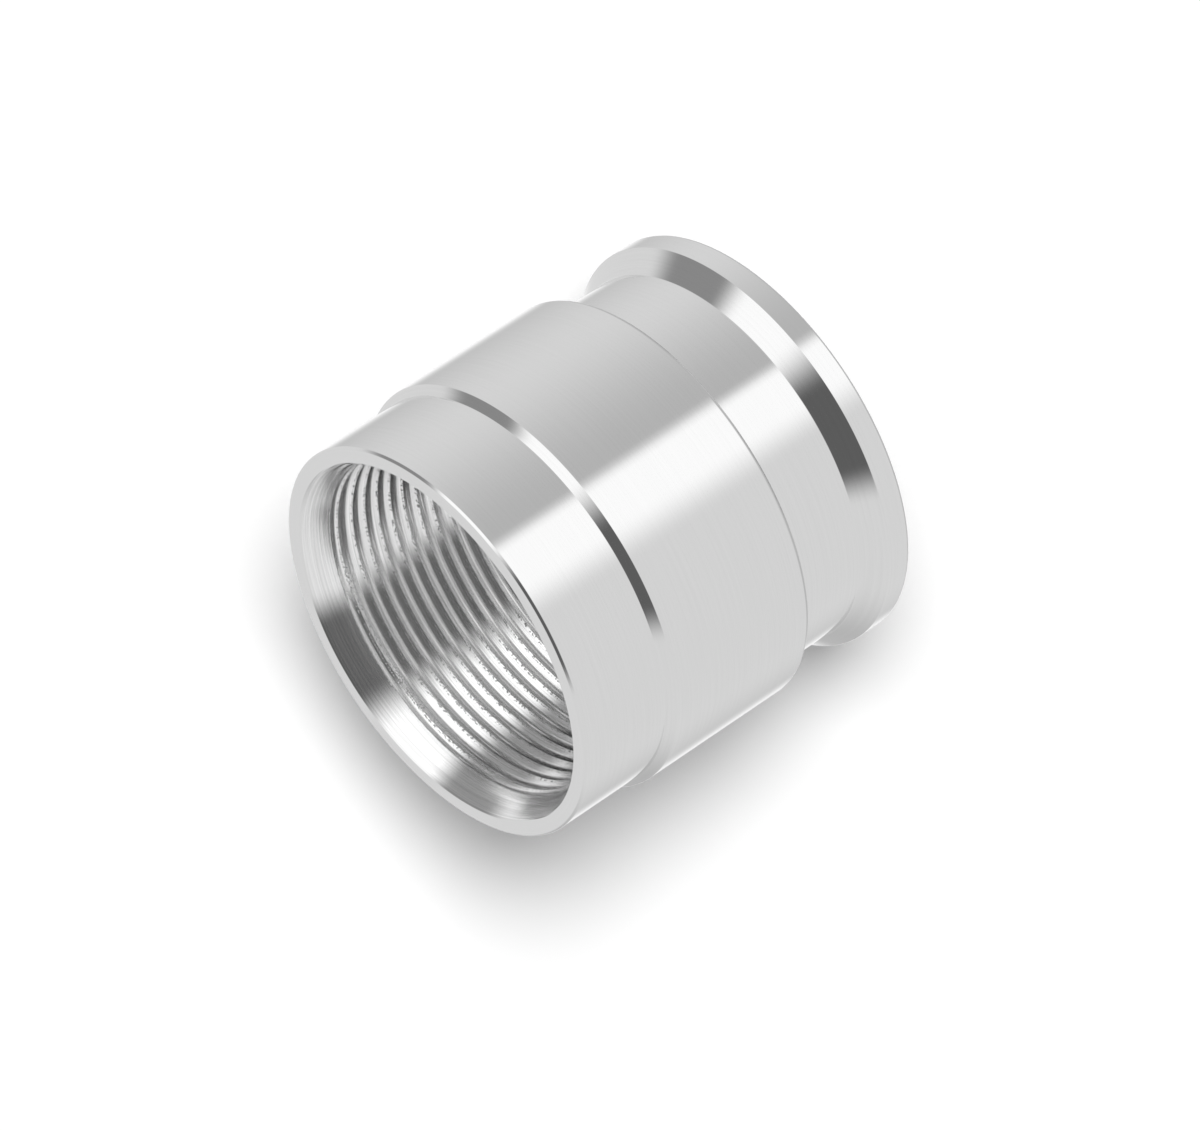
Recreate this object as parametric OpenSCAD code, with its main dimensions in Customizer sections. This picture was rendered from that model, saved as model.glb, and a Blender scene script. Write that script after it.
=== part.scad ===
// Crimp collar for a sanitary hose: one turned ring that is pushed over the hose and squeezed down on it.
// It stands on its flanged end, with the axis on Z and the hose end, the mouth, at the top.

/* [Outside] */
// Overall length, mm
length = 41.3; // [38:0.1:60]
// Diameter of the body, which the flange shares, mm
body_d = 44; // [40:0.5:60]
// Length of the body between its two steps, mm
body_len = 17.3; // [12:0.1:18]
// Length of the front section in front of the ramp, mm
front_len = 10.35; // [8:0.05:11]
// Drop from the body to the front section, on the radius, mm
front_drop = 0.8; // [0.5:0.05:1]
// Length of the ramp between the front section and the body, mm
ramp_len = 0.55; // [0.4:0.05:1]
// Drop from the body to the neck, on the radius, mm
neck_drop = 1.9; // [1.2:0.05:2.1]
// Width of the flange at its rim, mm
flange_w = 2.7; // [2:0.1:3.5]

/* [Bore] */
// Wall of the mouth at its face, mm
mouth_wall = 1.75; // [1.4:0.05:2]
// Length of the smooth lead-in cone, mm
lead_len = 3.3; // [3:0.1:5]
// Fall of the lead-in cone, on the radius, mm
lead_drop = 1.25; // [1:0.05:1.4]
// Distance from one serration to the next, mm
pitch = 1.61; // [1.5:0.01:2]
// Depth of a serration, mm
serration_depth = 0.56; // [0.5:0.01:0.7]
// Diameter of the hole in the stop lip, mm
lip_d = 31; // [27:0.5:32]
// Length of the stop lip, mm
lip_len = 3.2; // [2.5:0.1:3.5]

/* [Edges] */
// Radius of the broken outer edges, mm
edge_r = 0.3; // [0.2:0.05:0.35]
// Radius of the rounder edge at the foot of the body, mm
foot_r = 0.5; // [0.3:0.05:0.7]
// Radius of the hollow corner at the foot of the flange, mm
cove_r = 0.6; // [0.4:0.1:0.8]
// Bevel of the inner edges, mm
inner_bevel = 0.1; // [0.1:0.05:0.3]

/* [Hidden] */
$fn = 96;

body_r = body_d / 2;
front_r = body_r - front_drop;
neck_r = body_r - neck_drop;
mouth_r = front_r - mouth_wall;
crest_r = mouth_r - lead_drop;
root_r = crest_r + serration_depth;
lip_r = lip_d / 2;

// Heights above the flange's end face
body_top = length - front_len - ramp_len;
body_foot = body_top - body_len;
front_foot = length - front_len;
flank_top = flange_w + neck_drop;

// The serrations run from the lead-in cone to the foot of the body. The land in front of the first
// one takes half a pitch, and the tool cuts a shallow groove where it runs in.
crest_land = pitch / 2;
first_crest = lead_len + crest_land;
run_in_depth = serration_depth / 2;
grooves = floor((length - body_foot - first_crest) / pitch);
serrated_len = grooves * pitch;

// The sides of a serration slant at 45 degrees. They meet in a nearly sharp tip, and run smoothly into
// the wide round root that the nose of the tool leaves.
slant = sin(45);
rounding = (pitch / 2 - serration_depth) / (sqrt(2) - 1);
crest_round = 0.05;
root_round = rounding - crest_round;
tip_r = crest_r + crest_round * (1 - slant);
groove_half = pitch / 2 - crest_round * slant;
root_half = root_round * slant;
root_touch_r = root_r - root_round * (1 - slant);
over = 1;
air = 0.1;

steel = [0.80, 0.80, 0.80];

function unit(v) = v / norm(v);

// A corner p with its sides along a and b, rounded with radius r: half of its angle, how far from p
// the round starts, and the centre of the round
function half_angle(a, b) = acos(unit(a) * unit(b)) / 2;
function reach(a, b, r) = r / tan(half_angle(a, b));
function centre(p, a, b, r) = p + unit(unit(a) + unit(b)) * r / sin(half_angle(a, b));

// Directions along the sides of the section's corners
up = [0, 1];
down = [0, -1];
inward = [-1, 0];
flank = [neck_r - body_r, neck_drop];
ramp = [front_r - body_r, ramp_len];
neck_corner = [neck_r, flank_top];
front_corner = [front_r, front_foot];

// What rounding takes off an outer corner; it reaches a little into the air on both sides
module edge_cut(p, a, b, r = edge_r) {
    bisector = unit(unit(a) + unit(b));
    touch_a = p + unit(a) * reach(a, b, r);
    touch_b = p + unit(b) * reach(a, b, r);
    past_a = unit(unit(a) * (unit(a) * unit(b)) - unit(b)) * air;
    past_b = unit(unit(b) * (unit(a) * unit(b)) - unit(a)) * air;
    difference() {
        polygon([
            p - bisector * air / sin(half_angle(a, b)), touch_a + past_a, touch_a,
            centre(p, a, b, r), touch_b, touch_b + past_b
        ]);
        translate(centre(p, a, b, r)) circle(r);
    }
}

// Outside of the section, with broken edges and with rounded hollow corners at the foot of the flange
// and of the ramp, where the metal is filled straight across and then hollowed out by a circle
module outline() {
    neck_reach = reach(up, -flank, cove_r);
    front_reach = reach(up, -ramp, edge_r);
    difference() {
        polygon([
            [0, 0], [body_r, 0], [body_r, flange_w],
            neck_corner - unit(flank) * neck_reach, neck_corner + up * neck_reach,
            [neck_r, body_foot], [body_r, body_foot], [body_r, body_top],
            front_corner - unit(ramp) * front_reach, front_corner + up * front_reach,
            [front_r, length], [0, length]
        ]);
        translate(centre(neck_corner, up, -flank, cove_r)) circle(cove_r);
        translate(centre(front_corner, up, -ramp, edge_r)) circle(edge_r);
        edge_cut([body_r, 0], up, inward);
        edge_cut([body_r, flange_w], down, flank);
        edge_cut([body_r, body_foot], up, inward, foot_r);
        edge_cut([body_r, body_top], down, ramp);
        edge_cut([front_r, length], down, inward);
    }
}

// One groove between two serrations, at a distance from the mouth; less of it cuts in when it is raised
module groove(from_mouth, raised = 0) {
    translate([-raised, length - from_mouth]) {
        polygon([
            [tip_r - over, -groove_half], [tip_r, -groove_half], [root_touch_r, -root_half],
            [root_touch_r, root_half], [tip_r, groove_half], [tip_r - over, groove_half]
        ]);
        translate([root_r - root_round, 0]) circle(root_round);
    }
}

// Everything that is bored out of the section
module bore() {
    serrated_top = length - first_crest;
    // Hole in the stop lip, bevelled at the end face
    translate([-over, -over]) square([lip_r + over, lip_len + 2 * over]);
    polygon([[0, -over], [lip_r + inner_bevel + over, -over], [lip_r, inner_bevel], [0, inner_bevel]]);
    // Plain bore behind the serrations
    translate([-over, lip_len]) square([crest_r + over, length - lip_len - first_crest - serrated_len]);
    // Serrations
    difference() {
        translate([-over, serrated_top - serrated_len]) square([tip_r + over, serrated_len]);
        for (i = [0:grooves])
            translate([crest_r + crest_round, serrated_top - i * pitch]) circle(crest_round);
    }
    for (i = [0:grooves - 1]) groove(first_crest + (i + 0.5) * pitch);
    groove(lead_len, serration_depth - run_in_depth);
    // Land and lead-in cone
    translate([-over, serrated_top]) square([crest_r + over, first_crest + over]);
    polygon([
        [0, length - lead_len], [crest_r, length - lead_len], [mouth_r, length],
        [mouth_r, length + over], [0, length + over]
    ]);
    // Broken inner edge of the mouth
    polygon([
        [mouth_r - over, length - inner_bevel - over], [mouth_r + inner_bevel + over, length + over],
        [0, length + over]
    ]);
}

module collar() {
    color(steel)
    rotate_extrude()
    difference() {
        outline();
        bore();
    }
}

collar();
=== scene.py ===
import math

import bmesh
import bpy
from mathutils import Matrix, Vector


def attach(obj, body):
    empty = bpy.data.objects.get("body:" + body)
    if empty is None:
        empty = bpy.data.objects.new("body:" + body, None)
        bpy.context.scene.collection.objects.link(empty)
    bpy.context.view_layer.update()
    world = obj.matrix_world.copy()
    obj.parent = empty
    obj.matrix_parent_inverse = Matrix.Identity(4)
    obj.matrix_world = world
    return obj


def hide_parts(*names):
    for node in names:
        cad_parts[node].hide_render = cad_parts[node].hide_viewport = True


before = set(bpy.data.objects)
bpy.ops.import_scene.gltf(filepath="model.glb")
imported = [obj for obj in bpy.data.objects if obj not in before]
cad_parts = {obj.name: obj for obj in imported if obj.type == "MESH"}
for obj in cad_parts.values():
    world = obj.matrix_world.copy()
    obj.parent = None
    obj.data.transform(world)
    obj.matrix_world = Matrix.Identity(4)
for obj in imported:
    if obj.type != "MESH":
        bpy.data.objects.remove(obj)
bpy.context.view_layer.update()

scene = bpy.context.scene
scene.view_settings.view_transform = "Standard"

# Camera: a long lens well away from the collar, looking 28 degrees down on the standing collar and
# rolled over, so that the collar lies across the picture as it lies on the table in the photograph.
mm = 0.001
length = 41.3 * mm
camera_data = bpy.data.cameras.new("camera")
camera_data.sensor_width = 36
camera_data.lens = 270
camera_data.clip_start = 0.1
camera_data.clip_end = 20
camera = bpy.data.objects.new("camera", camera_data)
scene.collection.objects.link(camera)
scene.camera = camera
look_down = math.radians(27.95)
roll = math.radians(-123.4)
mouth_from_camera = Vector((-15.69, -7.41, -853.69)) * mm
camera.matrix_world = (
    Matrix.Translation((0, 0, length))
    @ Matrix.Rotation(math.pi / 2 - look_down, 4, "X")
    @ Matrix.Rotation(roll, 4, "Z")
    @ Matrix.Translation(-mouth_from_camera)
)

# Collar: one ring of stainless steel bar, turned outside and bored inside in a lathe. Its section is
# drawn once from the mouth down the outside and back up the bore, and then spun round the axis.
body_r = 22 * mm
front_r = body_r - 0.8 * mm
neck_r = body_r - 1.9 * mm
mouth_r = front_r - 1.75 * mm
crest_r = mouth_r - 1.25 * mm
lip_r = 15.5 * mm
flange_w = 2.7 * mm
flank_top = flange_w + 1.9 * mm
front_foot = length - 10.35 * mm
body_top = front_foot - 0.55 * mm
body_foot = body_top - 17.3 * mm
lip_len = 3.2 * mm
lead_len = 3.3 * mm
pitch = 1.61 * mm
first_crest = lead_len + pitch / 2
grooves = 14
edge_r = 0.3 * mm
foot_r = 0.5 * mm
cove_r = 0.6 * mm
inner_bevel = 0.1 * mm
support = 0.03 * mm

bpy.ops.object.select_all(action="DESELECT")
start = Vector((front_r - edge_r - support, length))
bpy.ops.mesh.primitive_plane_add(size=mm, location=(start.x, 0, start.y))
collar = bpy.context.object
collar.name = collar.data.name = "turned_collar"
bpy.ops.object.transform_apply(location=True, rotation=True, scale=True)
bpy.ops.object.mode_set(mode="EDIT")
bpy.ops.mesh.select_mode(type="VERT")
bpy.ops.mesh.select_all(action="SELECT")
bpy.ops.mesh.merge(type="CENTER")
pen = start.copy()


# Draws a straight line of the section to a point, given as distance from the axis and height
def line_to(point):
    global pen
    step = Vector(point) - pen
    if step.length > 0.001 * mm:
        bpy.ops.mesh.extrude_region_move(TRANSFORM_OT_translate={"value": (step.x, 0, step.y)})
        pen = pen + step


# Draws a round of the section about a centre; seen with the height upwards, positive turns clockwise
def round_about(centre, degrees, steps):
    global pen
    angle = math.radians(degrees)
    arm = pen - Vector(centre)
    bpy.ops.mesh.spin(
        steps=steps, angle=angle, center=(centre[0], 0, centre[1]), axis=(0, -1, 0), use_auto_merge=False
    )
    pen = Vector(centre) + Vector((
        arm.x * math.cos(angle) + arm.y * math.sin(angle),
        arm.y * math.cos(angle) - arm.x * math.sin(angle),
    ))


# Draws a line up to a corner and rounds it towards the next one, with a support point on each side
def corner(point, following, radius, steps):
    point = Vector(point)
    before = (pen - point).normalized()
    after = (Vector(following) - point).normalized()
    half = before.angle(after) / 2
    reach = radius / math.tan(half)
    side = before.x * after.y - before.y * after.x
    line_to(point + before * (reach + support))
    line_to(point + before * reach)
    centre = point + (before + after).normalized() * radius / math.sin(half)
    round_about(centre, math.copysign(180 - math.degrees(2 * half), side), steps)
    line_to(pen + after * support)


corner((front_r, length), (front_r, front_foot), edge_r, 6)
corner((front_r, front_foot), (body_r, body_top), edge_r, 4)
corner((body_r, body_top), (body_r, body_foot), edge_r, 4)
corner((body_r, body_foot), (neck_r, body_foot), foot_r, 6)
line_to((neck_r, body_foot))
corner((neck_r, flank_top), (body_r, flange_w), cove_r, 6)
corner((body_r, flange_w), (body_r, 0), edge_r, 5)
corner((body_r, 0), (lip_r, 0), edge_r, 6)
line_to((lip_r + inner_bevel, 0))
line_to((lip_r, inner_bevel))
line_to((lip_r, lip_len))
line_to((crest_r, lip_len))
line_to((crest_r, length - first_crest - grooves * pitch))

# One groove is drawn from one tip to the next: 45 degree sides that run smoothly from a nearly sharp
# tip into a wide round root. It is then copied up the bore.
serration_depth = 0.56 * mm
rounding = (pitch / 2 - serration_depth) / (math.sqrt(2) - 1)
tip_round = 0.05 * mm
root_round = rounding - tip_round
slant = math.sin(math.radians(45))
side_reach = (pitch / 2 - rounding * slant) / slant
along = Vector((slant, slant))
first_drawn = len(bmesh.from_edit_mesh(collar.data).verts) - 1
tip = pen.copy()
round_about((crest_r + tip_round, pen.y), 45, 2)
line_to(pen + along * support)
line_to(pen + along * (side_reach - 2 * support))
line_to(pen + along * support)
round_about((crest_r + serration_depth - root_round, tip.y + pitch / 2), -90, 10)
along.x = -slant
line_to(pen + along * support)
line_to(pen + along * (side_reach - 2 * support))
line_to(pen + along * support)
round_about((crest_r + tip_round, tip.y + pitch), 45, 2)
section = bmesh.from_edit_mesh(collar.data)
section.verts.ensure_lookup_table()
for number, vertex in enumerate(section.verts):
    vertex.select = number >= first_drawn
section.select_flush(True)
bmesh.update_edit_mesh(collar.data)
for _ in range(grooves - 1):
    bpy.ops.mesh.duplicate_move(TRANSFORM_OT_translate={"value": (0, 0, pitch)})
pen = tip + Vector((0, grooves * pitch))

# A shallower groove, where the tool ran in, the smooth lead-in cone and the bevel of the mouth close
# the section
section = bmesh.from_edit_mesh(collar.data)
for vertex in section.verts:
    vertex.select = (vertex.co - Vector((pen.x, 0, pen.y))).length < 0.001 * mm
section.select_flush(True)
bmesh.update_edit_mesh(collar.data)
cone = (mouth_r - crest_r) / lead_len
bevel_depth = inner_bevel / (1 - cone)
run_in_depth = serration_depth / 2
run_in_half = run_in_depth + root_round * (2 * slant - 1)
cut_out = (root_round - run_in_depth) / (root_round * math.hypot(1, cone))
past_root = math.degrees(math.acos(cut_out) - math.atan(cone))
along = Vector((slant, slant))
line_to((crest_r, length - lead_len - run_in_half))
line_to(pen + along * support)
line_to((crest_r + run_in_depth - root_round * (1 - slant), length - lead_len - root_round * slant))
round_about((crest_r + run_in_depth - root_round, length - lead_len), -45 - past_root, 9)
line_to(pen + Vector((cone, 1)).normalized() * support)
line_to((mouth_r - cone * bevel_depth, length - bevel_depth))
line_to((mouth_r + inner_bevel, length))
line_to(start)

around = 256
bpy.ops.mesh.select_all(action="SELECT")
bpy.ops.mesh.remove_doubles(threshold=0.001 * mm)
bpy.ops.mesh.spin(steps=around, angle=2 * math.pi, center=(0, 0, 0), axis=(0, 0, 1))
bpy.ops.mesh.select_all(action="SELECT")
bpy.ops.mesh.remove_doubles(threshold=0.001 * mm)
bpy.ops.mesh.normals_make_consistent(inside=False)
bpy.ops.object.mode_set(mode="OBJECT")
bpy.ops.object.shade_smooth_by_angle(angle=math.radians(30))

# The outside is polished nearly to a mirror over very fine turning lines. The bore is left as turned,
# with coarser lines that spread a reflection along the section; its steel is given a lighter colour than
# the outside's, which paints extra light into the bore's reflections. The lines run round the axis:
# their noise is stretched along X and Y, and its third axis follows the section both up and outwards.
line_stretch = 60
outward_share = 1.7


def turned_steel(name, dark, light, roughness, spread, line_width, line_depth):
    steel = bpy.data.materials.new(name)
    steel.use_nodes = True
    nodes = steel.node_tree.nodes
    link = steel.node_tree.links.new
    surface = nodes["Principled BSDF"]
    surface.inputs["Metallic"].default_value = 1
    surface.inputs["Roughness"].default_value = roughness
    surface.inputs["Anisotropic"].default_value = spread
    quarter_turn = 0.25
    surface.inputs["Anisotropic Rotation"].default_value = quarter_turn
    round_way = nodes.new("ShaderNodeTangent")
    round_way.direction_type = "RADIAL"
    round_way.axis = "Z"
    link(round_way.outputs[0], surface.inputs["Tangent"])
    place = nodes.new("ShaderNodeTexCoord")
    place.name = "place"
    apart = nodes.new("ShaderNodeSeparateXYZ")
    apart.name = "place_apart"
    flat = nodes.new("ShaderNodeVectorMath")
    flat.operation = "MULTIPLY"
    flat.inputs[1].default_value = (1, 1, 0)
    from_axis = nodes.new("ShaderNodeVectorMath")
    from_axis.operation = "LENGTH"
    from_axis.name = "distance_from_axis"
    section_way = nodes.new("ShaderNodeMath")
    section_way.operation = "MULTIPLY_ADD"
    section_way.inputs[1].default_value = outward_share
    ring = nodes.new("ShaderNodeCombineXYZ")
    stretch = nodes.new("ShaderNodeMapping")
    stretch.inputs["Scale"].default_value = (line_stretch, line_stretch, 1 / line_width)
    lines = nodes.new("ShaderNodeTexNoise")
    lines.inputs["Scale"].default_value = 1
    lines.inputs["Detail"].default_value = 3
    dent = nodes.new("ShaderNodeBump")
    dent.name = "line_dent"
    dent.inputs["Distance"].default_value = line_depth
    link(place.outputs["Object"], apart.inputs[0])
    link(place.outputs["Object"], flat.inputs[0])
    link(flat.outputs["Vector"], from_axis.inputs[0])
    link(from_axis.outputs["Value"], section_way.inputs[0])
    link(apart.outputs["Z"], section_way.inputs[2])
    link(apart.outputs["X"], ring.inputs["X"])
    link(apart.outputs["Y"], ring.inputs["Y"])
    link(section_way.outputs[0], ring.inputs["Z"])
    link(ring.outputs[0], stretch.inputs["Vector"])
    link(stretch.outputs[0], lines.inputs["Vector"])
    link(lines.outputs["Fac"], dent.inputs["Height"])
    streaks = nodes.new("ShaderNodeMapRange")
    streaks.inputs["From Min"].default_value = 0.35
    streaks.inputs["From Max"].default_value = 0.65
    streaks.inputs["To Min"].default_value = dark
    streaks.inputs["To Max"].default_value = light
    link(lines.outputs["Fac"], streaks.inputs["Value"])
    link(streaks.outputs[0], surface.inputs["Base Color"])
    link(dent.outputs[0], surface.inputs["Normal"])
    collar.data.materials.append(steel)
    return steel


turned_steel(
    "polished_stainless", dark=0.79, light=0.81, roughness=0.08, spread=0,
    line_width=0.1 * mm, line_depth=0.0005 * mm
)
# Painted light: the bore's colour (0.82 to 0.99) is lighter than the same steel outside, so its
# reflections come out brighter
bore_painted_lighter = turned_steel(
    "turned_bore_painted_lighter", dark=0.82, light=0.99, roughness=0.16, spread=1,
    line_width=0.25 * mm, line_depth=0.011 * mm
)
inside_mouth = mouth_r - 0.02 * mm
for face in collar.data.polygons:
    middle = face.center
    if math.hypot(middle.x, middle.y) < inside_mouth and middle.z > lip_len / 2:
        face.material_index = 1

# Small torn specks of metal sit along the tips of the serrations, where the tool left the cut
speck_size = 0.22 * mm
speck_depth = 0.09 * mm
all_specks_r = crest_r + 0.08 * mm
no_specks_r = crest_r + 0.18 * mm
nodes = bore_painted_lighter.node_tree.nodes
link = bore_painted_lighter.node_tree.links.new
at_tip = nodes.new("ShaderNodeMapRange")
at_tip.inputs["From Min"].default_value = no_specks_r
at_tip.inputs["From Max"].default_value = all_specks_r
specks = nodes.new("ShaderNodeTexNoise")
specks.inputs["Scale"].default_value = 1 / speck_size
specks.inputs["Detail"].default_value = 2
few = nodes.new("ShaderNodeMapRange")
few.inputs["From Min"].default_value = 0.56
few.inputs["From Max"].default_value = 0.66
torn = nodes.new("ShaderNodeMath")
torn.operation = "MULTIPLY"
serrated = nodes.new("ShaderNodeMath")
serrated.operation = "GREATER_THAN"
serrated.inputs[1].default_value = length - first_crest - grooves * pitch
torn_there = nodes.new("ShaderNodeMath")
torn_there.operation = "MULTIPLY"
torn_dent = nodes.new("ShaderNodeBump")
torn_dent.inputs["Distance"].default_value = speck_depth
link(nodes["distance_from_axis"].outputs["Value"], at_tip.inputs["Value"])
link(nodes["place"].outputs["Object"], specks.inputs["Vector"])
link(at_tip.outputs[0], torn.inputs[0])
link(specks.outputs["Fac"], few.inputs["Value"])
link(few.outputs[0], torn.inputs[1])
link(nodes["place_apart"].outputs["Z"], serrated.inputs[0])
link(torn.outputs[0], torn_there.inputs[0])
link(serrated.outputs[0], torn_there.inputs[1])
link(torn_there.outputs[0], torn_dent.inputs["Height"])
link(nodes["line_dent"].outputs[0], torn_dent.inputs["Normal"])
link(torn_dent.outputs[0], nodes["Principled BSDF"].inputs["Normal"])

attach(collar, "root")
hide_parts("collar")

# Floor: plain white paper square to the photograph's view, touching the far edge of the flange, because
# the soft shadow in the photograph fits no table. The camera sees the lit paper as pure white; from
# behind the paper is clear, and the steel mirrors the studio instead of it.
off_paper = Vector((0, -math.cos(look_down), math.sin(look_down)))
bpy.ops.object.select_all(action="DESELECT")
bpy.ops.mesh.primitive_plane_add(
    size=6, location=-(body_r * math.cos(look_down) + support) * off_paper,
    rotation=(math.pi / 2 - look_down, 0, 0)
)
floor = bpy.context.object
floor.name = "floor"
paper_grey = 0.9
paper_white = 1.02
paper = bpy.data.materials.new("white_paper")
paper.use_nodes = True
paper_nodes = paper.node_tree.nodes
paper_nodes.clear()
paper_out = paper_nodes.new("ShaderNodeOutputMaterial")
paper_rays = paper_nodes.new("ShaderNodeLightPath")
paper_seen = paper_nodes.new("ShaderNodeMath")
paper_seen.operation = "MAXIMUM"
paper_colour = paper_nodes.new("ShaderNodeMix")
paper_colour.data_type = "RGBA"
paper_colour.inputs["A"].default_value = (paper_grey, paper_grey, paper_grey, 1)
paper_colour.inputs["B"].default_value = (paper_white, paper_white, paper_white, 1)
paper_face = paper_nodes.new("ShaderNodeBsdfDiffuse")
paper_through = paper_nodes.new("ShaderNodeBsdfTransparent")
paper_choice = paper_nodes.new("ShaderNodeMixShader")
paper_side = paper_nodes.new("ShaderNodeNewGeometry")
paper_clear = paper_nodes.new("ShaderNodeMath")
paper_clear.operation = "MAXIMUM"
link = paper.node_tree.links.new
link(paper_rays.outputs["Is Camera Ray"], paper_seen.inputs[0])
link(paper_rays.outputs["Is Transmission Ray"], paper_seen.inputs[1])
link(paper_seen.outputs[0], paper_colour.inputs["Factor"])
link(paper_colour.outputs["Result"], paper_face.inputs["Color"])
link(paper_rays.outputs["Is Glossy Ray"], paper_clear.inputs[0])
link(paper_side.outputs["Backfacing"], paper_clear.inputs[1])
link(paper_clear.outputs[0], paper_choice.inputs["Fac"])
link(paper_face.outputs[0], paper_choice.inputs[1])
link(paper_through.outputs[0], paper_choice.inputs[2])
link(paper_choice.outputs[0], paper_out.inputs["Surface"])
floor.data.materials.append(paper)

# One soft lamp above the camera throws the shadow on the paper; the steel doesn't mirror it
lamp_data = bpy.data.lights.new("lamp_above_the_camera", "SUN")
lamp_data.energy = 2.1
lamp_data.angle = math.radians(24)
lamp = bpy.data.objects.new("lamp_above_the_camera", lamp_data)
scene.collection.objects.link(lamp)
lamp.visible_glossy = False
lamp_from_camera = Vector((0.05, 0.22, 1))
lamp_side = camera.matrix_world.to_3x3() @ lamp_from_camera
lamp.rotation_mode = "QUATERNION"
lamp.rotation_quaternion = lamp_side.to_track_quat("Z", "Y")

# Studio: white panels all round, a soft lamp beside the camera, the dark room behind the camera with a
# dim gap on the lamp's other side, and white paper behind the collar. A panel's place is the way in
# which a face of the collar points to mirror it to the photograph's camera: its turn round the axis,
# in degrees, and its tilt. The studio stays in place for every other camera.
world = bpy.data.worlds.new("studio")
scene.world = world
world.use_nodes = True
studio = world.node_tree.nodes
studio.clear()
link = world.node_tree.links.new
soft_lamp = 1.2
white_panel = 0.8
grey_edge = 0.55
dim_gap = 0.3
dark_room = 0.13
room_glow = 0.47


def worked_out(operation, *inputs):
    node = studio.new("ShaderNodeMath")
    node.operation = operation
    for socket, value in zip(node.inputs, inputs):
        if hasattr(value, "links"):
            link(value, socket)
        else:
            socket.default_value = value
    return node.outputs[0]


def panels(*stops):
    ramp = studio.new("ShaderNodeValToRGB")
    ramp.color_ramp.interpolation = "EASE"
    for _ in range(len(stops) - 2):
        ramp.color_ramp.elements.new(0.5)
    for element, (turned, level) in zip(ramp.color_ramp.elements, stops):
        element.position = (turned + 180) / 360
        element.color = (level, level, level, 1)
    link(turn, ramp.inputs["Fac"])
    return ramp.outputs["Color"]


def between(value, low, high, a, b):
    step = studio.new("ShaderNodeMapRange")
    step.interpolation_type = "SMOOTHSTEP"
    step.inputs["From Min"].default_value = low
    step.inputs["From Max"].default_value = high
    link(value, step.inputs["Value"])
    mix = studio.new("ShaderNodeMix")
    mix.data_type = "RGBA"
    link(step.outputs[0], mix.inputs["Factor"])
    link(a, mix.inputs["A"])
    link(b, mix.inputs["B"])
    return mix.outputs["Result"]


looking = studio.new("ShaderNodeTexCoord")
facing = studio.new("ShaderNodeVectorMath")
facing.inputs[1].default_value = off_paper
facing_way = studio.new("ShaderNodeVectorMath")
facing_way.operation = "NORMALIZE"
facing_length = studio.new("ShaderNodeVectorMath")
facing_length.operation = "LENGTH"
parts = studio.new("ShaderNodeSeparateXYZ")
link(looking.outputs["Generated"], facing.inputs[0])
link(facing.outputs["Vector"], facing_way.inputs[0])
link(facing.outputs["Vector"], facing_length.inputs[0])
link(facing_way.outputs["Vector"], parts.inputs[0])
turn = worked_out("ARCTAN2", parts.outputs["X"], worked_out("MULTIPLY", parts.outputs["Y"], -1))
turn = worked_out("MULTIPLY_ADD", turn, 0.5 / math.pi, 0.5)
tilt = parts.outputs["Z"]
below = panels((-90, grey_edge), (90, grey_edge))
upright = panels(
    (-90, grey_edge), (-60, white_panel), (-10, white_panel), (0, soft_lamp), (10, soft_lamp),
    (14, grey_edge), (50, white_panel), (90, grey_edge),
)
tilted = panels(
    (-90, grey_edge), (-60, white_panel), (-33, white_panel), (-22, dark_room), (0, dark_room),
    (15, soft_lamp), (30, soft_lamp), (40, dim_gap), (55, dim_gap), (66, white_panel), (90, white_panel),
)
above = panels((-90, white_panel), (90, white_panel))
paper_behind = panels((-90, 1), (90, 1))
surroundings = between(tilt, -0.28, -0.04, below, upright)
surroundings = between(tilt, 0.10, 0.25, surroundings, tilted)
surroundings = between(tilt, 0.88, 0.96, surroundings, above)
surroundings = between(facing_length.outputs["Value"], 0.15, 0.45, paper_behind, surroundings)
rays = studio.new("ShaderNodeLightPath")
backdrop = studio.new("ShaderNodeBackground")
backdrop.inputs["Color"].default_value = (1, 1, 1, 1)
mirrored = studio.new("ShaderNodeBackground")
link(surroundings, mirrored.inputs["Color"])
room_light = studio.new("ShaderNodeBackground")
room_light.inputs["Strength"].default_value = room_glow
by_gloss = studio.new("ShaderNodeMixShader")
by_camera = studio.new("ShaderNodeMixShader")
world_out = studio.new("ShaderNodeOutputWorld")
link(rays.outputs["Is Glossy Ray"], by_gloss.inputs["Fac"])
link(room_light.outputs[0], by_gloss.inputs[1])
link(mirrored.outputs[0], by_gloss.inputs[2])
seen = worked_out("MAXIMUM", rays.outputs["Is Camera Ray"], rays.outputs["Is Transmission Ray"])
link(seen, by_camera.inputs["Fac"])
link(by_gloss.outputs[0], by_camera.inputs[1])
link(backdrop.outputs[0], by_camera.inputs[2])
link(by_camera.outputs[0], world_out.inputs["Surface"])
